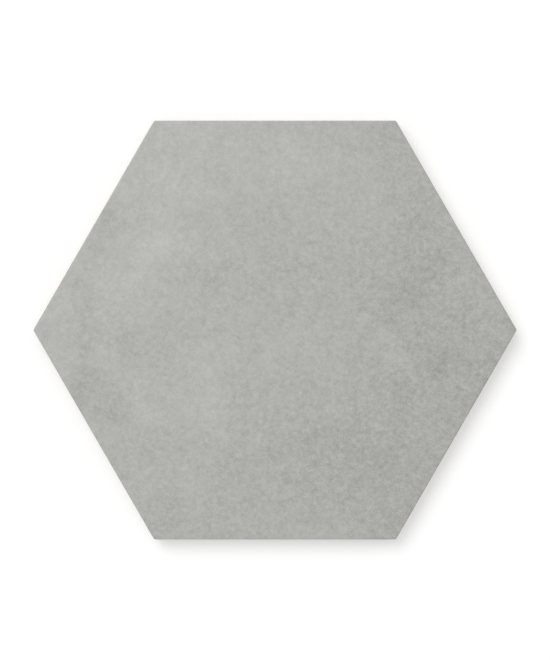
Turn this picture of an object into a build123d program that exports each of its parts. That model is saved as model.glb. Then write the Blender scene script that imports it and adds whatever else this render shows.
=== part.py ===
from build123d import *
import os
from math import cos, degrees, radians, tan

# Hexagonal tile of pressed porcelain stoneware, one piece, lying on its back with the glazed face up (+Z).
# The origin is the centre of the bed plane, which is the plane of the ribs on the back. Two of the six
# sides run along X, so two corners point along +X and -X. All sizes are in millimetres and degrees.

# The tile as it is sold
across_flats = 175.0
thickness = 9.0

# The pressed edge: a rounded arris at the face, an upright land that faces the joint, and below it a side
# that leans in towards the back, so that bedding mortar has room between two tiles
corner_radius = 1.0
arris_radius = 0.6
joint_land = 3.2
side_draft = 4.0
back_edge_radius = 0.6

# The keyed back: rings of shallow hexagonal cells round a middle one, with ribs between them, inside a rim
cell_rings = 5
rim_width = 6.0
rib_width = 3.0
key_depth = 0.8
key_draft = 30.0

# The side's levels, and the flat part of the back that the side's lean and the edge's rounding leave
land_bottom = thickness - arris_radius - joint_land
face_apothem = across_flats / 2
back_edge_reach = back_edge_radius * tan(radians(90 - side_draft) / 2)
bed_apothem = face_apothem - land_bottom * tan(radians(side_draft)) - back_edge_reach

# The honeycomb fills the back up to the rim, so its pitch follows from the ring count. Its rows lie at
# 60 degrees to each other, as the tile's sides do, and the outer cells turn a corner towards the rim
half_sector = radians(30)
honeycomb_reach = bed_apothem - rim_width + rib_width / 2 / cos(half_sector)
cell_pitch = honeycomb_reach / (cell_rings * cos(half_sector) + 0.5 / cos(half_sector))
row_pitch = cell_pitch * cos(half_sector)
cell_apothem = (cell_pitch - rib_width) / 2


def pressed_body():
    """The tile with its edge but with a flat back."""
    sharp_outline = RegularPolygon(face_apothem, 6, major_radius=False)
    outline = Pos(0, 0, land_bottom) * fillet(sharp_outline.vertices(), corner_radius)
    upper = extrude(outline, thickness - land_bottom)
    lower = extrude(outline, land_bottom, dir=(0, 0, -1), taper=side_draft)
    body = upper + lower
    face = body.faces().sort_by(Axis.Z)[-1]
    body = fillet(face.edges(), arris_radius)
    back = body.faces().sort_by(Axis.Z)[0]
    return fillet(back.edges(), back_edge_radius)


def cell_centres():
    """The centres of the honeycomb's cells: the middle one and whole rings round it."""
    steps = range(-cell_rings, cell_rings + 1)
    pairs = [(along, up) for along in steps for up in steps if abs(along + up) <= cell_rings]
    return [(cell_pitch * (along + up / 2), row_pitch * up) for along, up in pairs]


def key_cells():
    """The cells as solids to be taken out of the back: hexagons whose walls lean in with depth."""
    mouth = RegularPolygon(cell_apothem, 6, major_radius=False, rotation=degrees(half_sector))
    cell = extrude(mouth, key_depth, taper=key_draft)
    return [Pos(x, y) * cell for x, y in cell_centres()]


hexagon_tile = pressed_body() - key_cells()

os.makedirs("parts", exist_ok=True)
export_step(hexagon_tile, "parts/hexagon_tile.step")
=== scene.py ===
from math import cos, pi, radians, sin, tan

import bpy
import numpy as np
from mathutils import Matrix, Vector
from mathutils.geometry import delaunay_2d_cdt


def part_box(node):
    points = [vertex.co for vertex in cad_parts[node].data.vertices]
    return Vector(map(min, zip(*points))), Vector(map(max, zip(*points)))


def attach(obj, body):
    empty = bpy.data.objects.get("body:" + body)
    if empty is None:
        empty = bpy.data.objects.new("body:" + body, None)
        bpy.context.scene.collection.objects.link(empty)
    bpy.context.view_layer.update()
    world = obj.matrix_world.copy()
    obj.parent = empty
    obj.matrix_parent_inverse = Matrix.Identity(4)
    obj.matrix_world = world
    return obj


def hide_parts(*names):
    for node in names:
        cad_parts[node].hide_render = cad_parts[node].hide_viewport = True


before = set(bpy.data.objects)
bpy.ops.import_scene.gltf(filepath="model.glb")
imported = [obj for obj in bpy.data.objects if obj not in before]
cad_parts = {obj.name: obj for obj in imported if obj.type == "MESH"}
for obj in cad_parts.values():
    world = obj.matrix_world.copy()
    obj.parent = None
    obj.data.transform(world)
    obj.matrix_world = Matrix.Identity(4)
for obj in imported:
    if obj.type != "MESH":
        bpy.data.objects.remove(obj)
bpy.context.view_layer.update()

# The tile is one piece of porcelain stoneware: dry powder pressed in a die, glazed and printed on its face,
# and fired once. The press gives it a rounded arris, an upright joint land, a side that leans in below the
# land, and a honeycomb of shallow cells on its back. Its sizes are in millimetres.
MM = 0.001
lowest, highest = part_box("hexagon_tile")
apothem = (highest.y - lowest.y) / 2 / MM
thickness = (highest.z - lowest.z) / MM
corner_radius = 1.0
arris_radius = 0.6
joint_land = 3.2
side_draft = 4.0
back_edge_radius = 0.6

# The matt glaze has a sandy grain. It rises this far above the face's level, to the full thickness, and
# falls as far below it
grain_height = 0.05
finest_grain = 2.2
coarsest_grain = 14.0
grain_seed = 7
face_level = thickness - grain_height

# Numbers of points: rings of the face from its middle to the arris, and steps down each part of the edge.
# The outer rings crowd their points to the corners, and the grain dies out over the last few
face_rings = 136
crowded_rings = 12
corner_crowding = 0.012
calm_rings = 4
arris_steps = 6
land_steps = 4
draft_steps = 4
back_edge_steps = 4


def hexagon_path(sector, share, half_width, radius):
    """A path round a hexagon with rounded corners, in six sectors from the middle of one corner to the next.

    A sector's path is half a corner arc, a straight side and half an arc. A share of its length gives the
    turn of the normal along the arcs and the way along the side: the point is the arc's centre, moved along
    the side and then out along the normal. Gives the points and the outward normals.
    """
    side = 2 * (half_width - radius) * tan(pi / 6)
    half_arc = radius * pi / 6
    way = share * (side + 2 * half_arc)
    turn = np.clip(way, 0, half_arc) + np.clip(way - side - half_arc, 0, half_arc)
    corner = sector * pi / 3
    angle = corner + turn / radius
    normal = np.stack([np.cos(angle), np.sin(angle)], axis=-1)
    to_corner = np.stack([np.cos(corner), np.sin(corner)], axis=-1)
    along_side = np.stack([np.cos(corner + 2 * pi / 3), np.sin(corner + 2 * pi / 3)], axis=-1)
    centre = to_corner * (half_width - radius) / cos(pi / 6)
    straight = np.clip(way - half_arc, 0, side)
    return centre + along_side * straight[..., None] + normal * radius, normal


def crowd_corners(share, crowding):
    """Draws points along a sector towards its two ends, so that the small corner arcs get enough of them.

    Each share moves to the nearer end by a hyperbolic tangent, and the rest is stretched to fill the sector.
    """
    reach = 0.015
    pull = np.tanh(share / reach) - np.tanh((1 - share) / reach) + 1
    return (1 + 2 * crowding) * share - crowding * pull


def sandy_grain(x, y):
    """Height of the grain at each point, from 0 to 1.

    White noise on a square sheet is kept to the wave lengths of the grain by its Fourier transform, scaled
    so that six standard deviations fill the height, and read between the sheet's points by straight lines.
    """
    points = 1024
    spacing = 0.25
    deviations = 6
    rough = np.random.default_rng(grain_seed).standard_normal((points, points))
    frequency = np.fft.fftfreq(points, spacing)
    wave = np.hypot(frequency[:, None], frequency[None, :])
    band = np.exp(-((wave * finest_grain) ** 2)) - np.exp(-((wave * coarsest_grain) ** 2))
    sheet = np.fft.ifft2(np.fft.fft2(rough) * band).real
    sheet = np.clip(sheet / sheet.std() / deviations + 0.5, 0, 1)
    column = x / spacing + points / 2
    row = y / spacing + points / 2
    left = np.floor(column).astype(int)
    low = np.floor(row).astype(int)
    across = column - left
    up = row - low
    lower = sheet[low, left] * (1 - across) + sheet[low, left + 1] * across
    upper = sheet[low + 1, left] * (1 - across) + sheet[low + 1, left + 1] * across
    return lower * (1 - up) + upper * up


def pressed_face():
    """The glazed face as rings of points round its middle, joined by triangles: ring n has 6 n points.

    A point is the arris's inner edge scaled by its ring's share of all rings, at the grain's height, which
    settles to its mean at the rim. Gives the points and the triangles.
    """
    ring = np.repeat(np.arange(1, face_rings + 1), 6 * np.arange(1, face_rings + 1))
    place = np.arange(ring.size) - 3 * ring * (ring - 1)
    sector, step = np.divmod(place, ring)
    crowded = np.clip(1 - (face_rings - ring) / crowded_rings, 0, 1)
    share = crowd_corners(step / ring, corner_crowding * crowded)
    path, normal = hexagon_path(sector, share, apothem, corner_radius)
    flat = (path - normal * arris_radius) * (ring / face_rings)[:, None]
    flat = np.concatenate([np.zeros((1, 2)), flat])
    away_from_rim = np.concatenate([[1.0], np.clip((face_rings - ring) / calm_rings, 0, 1)])
    grain = 0.5 + (sandy_grain(flat[:, 0], flat[:, 1]) - 0.5) * away_from_rim
    height = thickness - 2 * grain_height * (1 - grain)

    def number(of_ring, of_place):
        """The number of a point, counted from the middle outwards."""
        within = of_place % np.maximum(6 * of_ring, 1)
        return np.where(of_ring == 0, 0, 1 + 3 * of_ring * (of_ring - 1) + within)

    here = number(ring, place)
    following = number(ring, place + 1)
    inner = number(ring - 1, sector * (ring - 1) + step)
    inner_following = number(ring - 1, sector * (ring - 1) + step + 1)
    outward = np.stack([here, following, inner], axis=-1)
    inward = np.stack([inner, following, inner_following], axis=-1)
    return np.column_stack([flat, height]), np.concatenate([outward, inward[step < ring - 1]])


def edge_section():
    """The edge's section from the face's rim to the bed plane: how far in from the outline, and how high.

    A quarter circle for the arris, straight runs for the land and the leaning side, and an arc that is
    tangent to that side and to the bed plane.
    """
    land_top = face_level - arris_radius
    land_bottom = thickness - arris_radius - joint_land
    lean = radians(side_draft)
    arris = np.linspace(0, pi / 2, arris_steps + 1)
    arris_inset = arris_radius * (1 - np.sin(arris))
    arris_height = land_top + arris_radius * np.cos(arris)
    land_height = np.linspace(land_top, land_bottom, land_steps + 1)[1:]
    foot = np.linspace(lean, pi / 2, back_edge_steps + 1)
    foot_centre = land_bottom * tan(lean) + back_edge_radius * (1 - sin(lean)) / cos(lean)
    foot_inset = foot_centre - back_edge_radius * np.cos(foot)
    foot_height = back_edge_radius * (1 - np.sin(foot))
    draft_share = np.linspace(0, 1, draft_steps + 1)[1:-1]
    draft_inset = draft_share * foot_inset[0]
    draft_height = land_bottom + draft_share * (foot_height[0] - land_bottom)
    inset = [arris_inset, np.zeros(land_steps), draft_inset, foot_inset]
    height = [arris_height, land_height, draft_height, foot_height]
    return np.concatenate(inset), np.concatenate(height)


def pressed_edge(inset, height):
    """The edge below the face's rim: its section carried round the outline, a ring of points for each step.

    A point is the outline's, moved in along its normal by the section's inset and set at its height. Gives
    the rings, and the same folded out flat: the rim's points, moved out by the section's length so far.
    """
    sector, step = np.divmod(np.arange(6 * face_rings), face_rings)
    share = crowd_corners(step / face_rings, corner_crowding)
    path, normal = hexagon_path(sector, share, apothem, corner_radius)
    flat = path - normal * inset[:, None, None]
    level = np.broadcast_to(height[:, None, None], flat.shape[:2] + (1,))
    way = np.cumsum(np.hypot(np.diff(inset), np.diff(height)))
    unfolded = flat[0] + normal * way[:, None, None]
    return np.concatenate([flat, level], axis=-1)[1:], unfolded


# The back's honeycomb: whole rings of cells round a middle one, between ribs that lie on the bed. A cell's
# drafted wall is softened: it starts a little outside the cell's mouth and ends a little past the wall's top
cell_rings = 5
rim_width = 6.0
rib_width = 3.0
key_depth = 0.8
key_draft = 30.0
cell_corner_radius = 1.2
wall_softness = 0.22
wall_steps = 5


def cell_layout(bed_apothem):
    """The cells' centres and half width: whole rings of cells, in rows along the tile's sides.

    The pitch is the one at which the outer cells' corners just reach the rim: the rise of the rings' rows
    and half a cell, from its middle to its corner, fill the bed up to there.
    """
    reach = bed_apothem - rim_width + rib_width / 2 / cos(pi / 6)
    pitch = reach / (cell_rings * cos(pi / 6) + 0.5 / cos(pi / 6))
    steps = np.arange(-cell_rings, cell_rings + 1)
    along, up = (part.ravel() for part in np.meshgrid(steps, steps))
    inside = np.abs(along + up) <= cell_rings
    along = along[inside]
    up = up[inside]
    centres = np.column_stack([pitch * (along + up / 2), pitch * up * cos(pi / 6)])
    return centres, (pitch - rib_width) / 2


def key_cells(centres, half_width):
    """The cells pressed into the back: a rounded hexagon carried up a wall that runs in a smooth S.

    The hexagon is given a quarter turn, so that its corners point to the tile's sides. Gives the walls'
    points by cell, wall step and place round the cell, and the middle of each floor.
    """
    half_arc = cell_corner_radius * pi / 6
    arc_share = half_arc / (2 * (half_width - cell_corner_radius) * tan(pi / 6) + 2 * half_arc)
    shares = np.array([0, arc_share / 2, arc_share, 1 - arc_share, 1 - arc_share / 2])
    sector, step = np.divmod(np.arange(6 * shares.size), shares.size)
    path, normal = hexagon_path(sector, shares[step], half_width, cell_corner_radius)
    run = np.linspace(0, 1, wall_steps + 1)
    draft_run = key_depth * tan(radians(key_draft))
    inset = np.linspace(-wall_softness, draft_run + wall_softness, wall_steps + 1)
    flat = path - normal * inset[:, None, None]
    height = np.broadcast_to((key_depth * run ** 2 * (3 - 2 * run))[:, None], flat.shape[:2])
    walls = np.stack([-flat[..., 1], flat[..., 0], height], axis=-1)
    spots = np.column_stack([centres, np.zeros(len(centres))])
    return spots[:, None, None] + walls, spots + [0, 0, key_depth]


def joined_rings(first, second):
    """Triangles between two closed rings of as many points, two for each step round them.

    They face outwards where the second ring lies below the first, and inwards where it lies above.
    """
    first_next = np.roll(first, -1, axis=-1)
    second_next = np.roll(second, -1, axis=-1)
    left_half = np.stack([first, second, second_next], axis=-1)
    right_half = np.stack([first, second_next, first_next], axis=-1)
    return np.concatenate([left_half, right_half]).reshape(-1, 3)


def bed_plane(points, rim, mouths):
    """Triangles of the ribs and rim: the plane between the back's edge and the mouths of the cells.

    All those points are triangulated together, and triangles with all three points on one mouth are left
    out.
    """
    loops = [rim, *mouths]
    counts = np.array([len(loop) for loop in loops])
    numbers = np.concatenate(loops)
    owner = np.repeat(np.arange(len(loops)), counts)
    start = np.repeat(np.cumsum(counts) - counts, counts)
    spot = np.arange(numbers.size)
    following = start + (spot - start + 1) % counts[owner]
    flat = points[numbers, :2].tolist()
    outlines = np.column_stack([spot, following]).tolist()
    inside_only = 1
    merge_distance = 1e-6
    _, _, faces, sources, _, _ = delaunay_2d_cdt(flat, outlines, [], inside_only, merge_distance)
    triangles = np.concatenate(sources)[np.array(faces)]
    owners = owner[triangles]
    in_cell = (owners[:, 0] > 0) & (owners[:, 0] == owners[:, 1]) & (owners[:, 1] == owners[:, 2])
    return numbers[triangles[~in_cell]][:, ::-1]


def tile_mesh(points, triangles, smooth, on_map):
    """A mesh of points in millimetres and triangles, smooth or flat, whose corners have places on a map."""
    mesh = bpy.data.meshes.new("pressed_tile")
    mesh.vertices.add(len(points))
    mesh.vertices.foreach_set("co", (points * MM).ravel())
    mesh.loops.add(triangles.size)
    mesh.loops.foreach_set("vertex_index", triangles.ravel())
    mesh.polygons.add(len(triangles))
    mesh.polygons.foreach_set("loop_start", np.arange(0, triangles.size, 3))
    mesh.polygons.foreach_set("use_smooth", smooth)
    mesh.uv_layers.new(name="OFBake").data.foreach_set("uv", on_map.ravel())
    mesh.update(calc_edges=True)
    return mesh


# The surface's map: the millimetres that it spans and where its middle lies, for the face with the edge
# folded out flat round it, and for the back
front_map_span = 262.0
front_map_middle = (0.5, 0.377)
back_map_span = 830.0
back_map_middle = (0.5, 0.875)


def pressed_tile():
    """The whole tile as one closed mesh of triangles, with its map.

    It is the face's rings, the edge's rings below the face's rim, and the back's cells and bed plane. Points
    are numbered in that order, so the rim's numbers run on into the edge's.
    """
    face, face_triangles = pressed_face()
    inset, height = edge_section()
    edge, unfolded = pressed_edge(inset, height)
    walls, floors = key_cells(*cell_layout(apothem - inset[-1]))
    points = np.concatenate([face, edge.reshape(-1, 3), walls.reshape(-1, 3), floors])

    round_count = 6 * face_rings
    edge_numbers = np.arange(len(face) - round_count, len(face) + edge[..., 0].size).reshape(-1, round_count)
    wall_numbers = edge_numbers.max() + 1 + np.arange(walls[..., 0].size).reshape(walls.shape[:3])
    floor_numbers = wall_numbers.max() + 1 + np.arange(len(floors))

    front = np.concatenate([face_triangles, joined_rings(edge_numbers[:-1], edge_numbers[1:])])
    cell_walls = joined_rings(wall_numbers[:, :-1], wall_numbers[:, 1:])
    wall_tops = wall_numbers[:, -1]
    middles = np.broadcast_to(floor_numbers[:, None], wall_tops.shape)
    cell_floors = np.stack([middles, np.roll(wall_tops, -1, axis=-1), wall_tops], axis=-1).reshape(-1, 3)
    bed = bed_plane(points, edge_numbers[-1], wall_numbers[:, 0])
    triangles = np.concatenate([front, cell_walls, cell_floors, bed])
    smooth = np.arange(len(triangles)) < len(front) + len(cell_walls)

    front_map = np.concatenate([face[:, :2], unfolded.reshape(-1, 2)]) / front_map_span + front_map_middle
    back_map = points[:, :2] / [-back_map_span, back_map_span] + back_map_middle
    on_map = np.concatenate([front_map[front.ravel()], back_map[triangles[len(front):].ravel()]])
    return tile_mesh(points, triangles, smooth, on_map)


class Shade:
    """A value, vector or colour in a tree of shader nodes.

    Arithmetic on values adds Math nodes, and node() adds any other node.
    """

    def __init__(self, socket):
        self.socket = socket

    def feed(self, socket):
        """Links this to a node's input."""
        self.socket.id_data.links.new(self.socket, socket)

    def node(self, kind, settings, sockets, output=0):
        """Adds a node, sets its settings and then its sockets to values or links, and gives an output."""
        made = self.socket.id_data.nodes.new("ShaderNode" + kind)
        for name, value in settings.items():
            setattr(made, name, value)
        for name, value in sockets.items():
            if isinstance(value, Shade):
                value.feed(made.inputs[name])
            else:
                made.inputs[name].default_value = value
        return Shade(made.outputs[output])

    def math(self, operation, first, second):
        """A Math node on two values, either of which may be a plain number."""
        return self.node("Math", {"operation": operation}, {0: first, 1: second})

    def __add__(self, other):
        return self.math("ADD", self, other)

    def __radd__(self, other):
        return self.math("ADD", other, self)

    def __sub__(self, other):
        return self.math("SUBTRACT", self, other)

    def __rsub__(self, other):
        return self.math("SUBTRACT", other, self)

    def __mul__(self, other):
        return self.math("MULTIPLY", self, other)

    def __rmul__(self, other):
        return self.math("MULTIPLY", other, self)

    def larger(self, other):
        """The larger of this value and another."""
        return self.math("MAXIMUM", self, other)

    def vector(self, operation, sockets, output=0):
        """Vector Math on this vector."""
        return self.node("VectorMath", {"operation": operation}, {0: self, **sockets}, output)

    def part(self, axis):
        """This vector's part along one axis: 0 to the right, 1 away and 2 up."""
        return self.node("SeparateXYZ", {}, {0: self}, axis)

    def noise(self, wave, detail=0.0):
        """Soft noise about nought at this place, whose blobs are about one wave apart."""
        return self.node("TexNoise", {}, {"Vector": self, "Scale": 1 / wave, "Detail": detail}) - 0.5

    def noises(self, layers):
        """Soft noises added up, each given by its wave and its strength."""
        return sum(self.noise(wave) * strength for wave, strength in layers)

    def ease(self, low, high, to_low=0.0, to_high=1.0):
        """Runs smoothly from one value to another as this one goes from low to high, and stays there."""
        sockets = {"Value": self, "From Min": low, "From Max": high, "To Min": to_low, "To Max": to_high}
        return self.node("MapRange", {"interpolation_type": "SMOOTHSTEP"}, sockets)

    def blend(self, off, on):
        """The first colour where this share is nought and the second where it is one."""
        return self.node("Mix", {"data_type": "RGBA"}, {0: self, 6: off, 7: on}, 2)


# The print on the face imitates trowelled concrete: paler towards one side, with soft clouds. Tones are in
# steps of grey, of 255, and one step is this share of the face's colour. A cloud is its middle to the right
# and away, its half length and half width in millimetres, its turn in degrees, and its middle's tone
grey_step = 0.0126
tone_across = -0.064
tone_away = 0.040
print_clouds = [
    (-50, 36, 42, 24, 60, 2.5),
    (-51, 34, 18, 13, 20, 4.0),
    (-43, 64, 15, 13, 0, 4.5),
    (-62, 20, 20, 16, 60, 2.5),
    (-30, -28, 30, 14, 80, 5.5),
    (-53, -31, 16, 9, -50, 5.0),
    (2, 66, 60, 20, 0, 2.5),
    (-34, 83, 12, 10, 0, 3.0),
    (15, -10, 56, 28, 15, 2.2),
    (50, -6, 16, 10, 20, 3.8),
    (32, 58, 26, 16, 80, 1.8),
    (82, 20, 34, 16, -60, 2.0),
    (18, 28, 13, 7, -45, 3.0),
    (40, -69, 12, 9, 0, 3.5),
    (14, -84, 40, 12, 0, 4.0),
    (56, 19, 26, 15, 12, -7.5),
    (54, 3, 20, 11, -20, -4.5),
    (60, 42, 32, 13, -65, -4.0),
    (66, -12, 20, 13, -25, -6.0),
    (50, -27, 15, 10, 0, -4.5),
    (-73, 41, 18, 12, 55, -7.0),
    (-81, -2, 46, 10, 88, -5.5),
    (-74, -28, 24, 12, -25, -7.0),
    (-62, -5, 11, 12, 0, -5.5),
    (-48, -15, 18, 9, -30, -2.5),
    (-26, 23, 30, 9, -5, -4.5),
    (8, 26, 24, 8, -20, -3.5),
    (-8, 45, 26, 14, -10, -3.0),
    (46, 80, 18, 14, 0, -3.5),
    (34, -53, 50, 26, 0, -2.9),
    (18, -55, 11, 9, 0, -2.5),
    (-61, -48, 20, 12, -50, -3.5),
    (-46, -80, 20, 12, 0, -3.5),
]
# A cloud reaches far above and below the face, so that it is the same at every height
cloud_rise = 1000.0
# Slow noise pulls the clouds' outlines about
pull_wave = 24.0
pull_detail = 1.0
pull_reach = 24.0
# Mottling and grain: waves in millimetres, and strengths in steps of grey. Grain is stronger on darker print
print_mottle = [(13.0, 5.0), (8.0, 3.0), (4.2, 8.5)]
print_grain = [(2.4, 13.5), (1.5, 13.0), (0.9, 7.0), (0.5, 18.0), (0.28, 18.0)]
pale_tone = 4.0
dark_tone = -7.0
grain_on_pale = 0.85
grain_on_dark = 1.32


def printed_clouds(place, turned):
    """The print's tone without its grain: a slope, mottling, and clouds.

    A cloud is an ellipse that fades smoothly from its middle to its edge, on a plane that slow noise pulls
    about.
    """
    slow_noise = {"Vector": turned, "Scale": 1 / pull_wave, "Detail": pull_detail}
    pull = turned.node("TexNoise", {}, slow_noise, 1).vector("SUBTRACT", {1: (0.5, 0.5, 0.5)})
    pulled = place.vector("ADD", {1: pull.vector("SCALE", {"Scale": pull_reach})})
    tone = place.part(0) * tone_across + place.part(1) * tone_away + turned.noises(print_mottle)
    for x, y, half_length, half_width, turn, middle_tone in print_clouds:
        ellipse = {
            "Vector": pulled,
            "Location": (x, y, 0.0),
            "Rotation": (0.0, 0.0, radians(turn)),
            "Scale": (half_length, half_width, cloud_rise),
        }
        away = pulled.node("Mapping", {"vector_type": "TEXTURE"}, ellipse).vector("LENGTH", {}, output=1)
        tone = tone + away.ease(1.0, 0.0, 0.0, middle_tone)
    return tone


# The glaze is thinner round the arris, and paler there: partly thin glaze and partly a painted highlight
# along the arris. It ends below it in an uneven line. Depths are measured down from the face
face_colour = (0.422, 0.427, 0.400, 1)
arris_glaze_and_highlight = (0.455, 0.455, 0.428, 1)
arris_depths = (0.15, 0.5)
glaze_end = 1.7
glaze_end_wander = 1.6
glaze_end_wave = 7.0
glaze_end_detail = 2.0
glaze_end_fade = 0.15
glaze_roughness = 0.58
gloss_wander = 0.12
gloss_wave = 3.0
gloss_detail = 2.0
# The bare body has a fine speckle, drag marks that the die leaves down the side, and patches of kiln wash on
# the ribs and the foot of the side
body_colour = (0.50, 0.465, 0.405, 1)
body_roughness = 0.78
speckle_tone = 5.0
drag_wave = 1.6
drag_detail = 2.0
drag_stretch = 0.08
drag_tone = 0.16
drag_height = 0.04
wash_colour = (0.66, 0.65, 0.62, 1)
wash_height = 0.5
wash_wave = 9.0
wash_detail = 3.0
wash_patches = (-0.15, 0.1)
least_wash = 0.35
# Relief that is finer than the mesh: waves and strengths, both in millimetres
glaze_grain = [(1.5, 0.05), (0.8, 0.025), (0.4, 0.015)]
body_grain = [(0.9, 0.04), (0.5, 0.025), (0.28, 0.02)]
# Noise is read on a turned frame, because straight across its lattice it shows rows and columns
noise_turn = (0.6, 0.5, 0.3)


def fired_porcelain():
    """The tile's one surface: matt printed glaze on the face and arris, and bare fired body elsewhere."""
    material = bpy.data.materials.new("fired_porcelain")
    material.use_nodes = True
    shader = material.node_tree.nodes["Principled BSDF"]
    metres = Shade(shader.outputs["BSDF"]).node("TexCoord", {}, {}, "Object")
    place = metres.vector("SCALE", {"Scale": 1 / MM})
    turn = {"Vector": place, "Rotation": noise_turn}
    turned = place.node("VectorRotate", {"rotation_type": "EULER_XYZ"}, turn)
    height = place.part(2)
    depth = thickness - height

    # Printed glaze
    clouds = printed_clouds(place, turned)
    grain = turned.noises(print_grain) * clouds.ease(pale_tone, dark_tone, grain_on_pale, grain_on_dark)
    print_shade = 1.0 + (clouds + grain) * grey_step
    # Paler glaze round the arris: thin glaze, and a painted highlight along the arris
    glaze = depth.ease(*arris_depths).blend(face_colour, arris_glaze_and_highlight)
    glaze = glaze.vector("SCALE", {"Scale": print_shade})
    end = glaze_end + turned.noise(glaze_end_wave, glaze_end_detail) * glaze_end_wander
    glazed = (end - depth).ease(-glaze_end_fade, glaze_end_fade)

    # Bare body
    speckle = turned.noises(body_grain)
    drag = place.vector("MULTIPLY", {1: (1.0, 1.0, drag_stretch)}).noise(drag_wave, drag_detail)
    patches = turned.noise(wash_wave, wash_detail).ease(*wash_patches, least_wash, 1.0)
    washed = height.ease(wash_height, 0.0) * patches
    body_shade = 1.0 + speckle * speckle_tone + drag * drag_tone
    body = washed.blend(body_colour, wash_colour).vector("SCALE", {"Scale": body_shade})

    # Relief and gloss
    body_relief = speckle + drag * drag_height
    relief = body_relief + (turned.noises(glaze_grain) - body_relief) * glazed
    gloss = body_roughness - glaze_roughness + turned.noise(gloss_wave, gloss_detail) * gloss_wander
    finish = {
        "Base Color": glazed.blend(body, glaze),
        "Roughness": body_roughness - gloss * glazed,
        "Normal": relief.node("Bump", {}, {"Height": relief, "Distance": MM, "Strength": 1.0}),
    }
    for name, value in finish.items():
        value.feed(shader.inputs[name])
    return material


tile = bpy.data.objects.new("pressed_tile", pressed_tile())
tile.data.materials.append(fired_porcelain())
bpy.context.scene.collection.objects.link(tile)
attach(tile, "root")
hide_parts("hexagon_tile")

# The floor is a plain white board that the tile lies on, with its sizes in metres. It takes the tile's soft
# shadow, and what the camera and reflections see of it is lifted to white.
floor_reach = 4.0
floor_drop = 0.00005
floor_colour = (0.80, 0.80, 0.80, 1)
floor_lift = 0.28


def seen_directly(shader):
    """One for rays from the camera and for those that a glossy or clear surface sends on, else nought."""
    kinds = ("Is Camera Ray", "Is Glossy Ray", "Is Transmission Ray")
    camera_ray, glossy_ray, clear_ray = (shader.node("LightPath", {}, {}, kind) for kind in kinds)
    return camera_ray.larger(glossy_ray).larger(clear_ray)


floor_mesh = bpy.data.meshes.new("floor")
floor_sides = (-floor_reach, floor_reach)
floor_corners = [(x, y, -floor_drop) for y in floor_sides for x in floor_sides]
floor_mesh.from_pydata(floor_corners, [], [(0, 1, 3, 2)])
white_board = bpy.data.materials.new("white_board")
white_board.use_nodes = True
board_shader = white_board.node_tree.nodes["Principled BSDF"]
board_shader.inputs["Base Color"].default_value = floor_colour
board_shader.inputs["Specular IOR Level"].default_value = 0.0
board_shader.inputs["Emission Strength"].default_value = 1.0
lift = seen_directly(Shade(board_shader.outputs["BSDF"])) * floor_lift
lift.feed(board_shader.inputs["Emission Color"])
floor_mesh.materials.append(white_board)
floor = bpy.data.objects.new("floor", floor_mesh)
bpy.context.scene.collection.objects.link(floor)

# The light is a soft studio's: an even white room, and a broad key lamp high on the upper left, which draws
# the arris and the grain.
room_level = 0.66
key_level = 1.16
key_spread = 40
key_from = Vector((-0.45, 0.55, 1.0))
studio = bpy.data.worlds.new("studio")
studio.use_nodes = True
bpy.context.scene.world = studio
room = studio.node_tree.nodes["Background"]
room.inputs["Color"].default_value = (1, 1, 1, 1)
level = room_level + seen_directly(Shade(room.outputs["Background"])) * (1 - room_level)
level.feed(room.inputs["Strength"])
key_lamp = bpy.data.lights.new("key_lamp", "SUN")
key_lamp.energy = key_level
key_lamp.angle = radians(key_spread)
key = bpy.data.objects.new("key_lamp", key_lamp)
key.rotation_euler = key_from.to_track_quat("Z", "Y").to_euler()
bpy.context.scene.collection.objects.link(key)

# The camera looks straight down on the tile, as in the photograph, through a long lens. The picture's height
# is measured on the face, in millimetres, so that the tile fills most of the width.
picture_height = 275.6
lens = 135.0
sensor = 36.0
far_clip = 20.0
optics = bpy.data.cameras.new("camera")
optics.lens = lens
optics.sensor_width = sensor
optics.clip_end = far_clip
camera = bpy.data.objects.new("camera", optics)
camera.location = (0, 0, (thickness + picture_height * lens / sensor) * MM)
bpy.context.scene.collection.objects.link(camera)
bpy.context.scene.camera = camera
bpy.context.scene.view_settings.view_transform = "Standard"
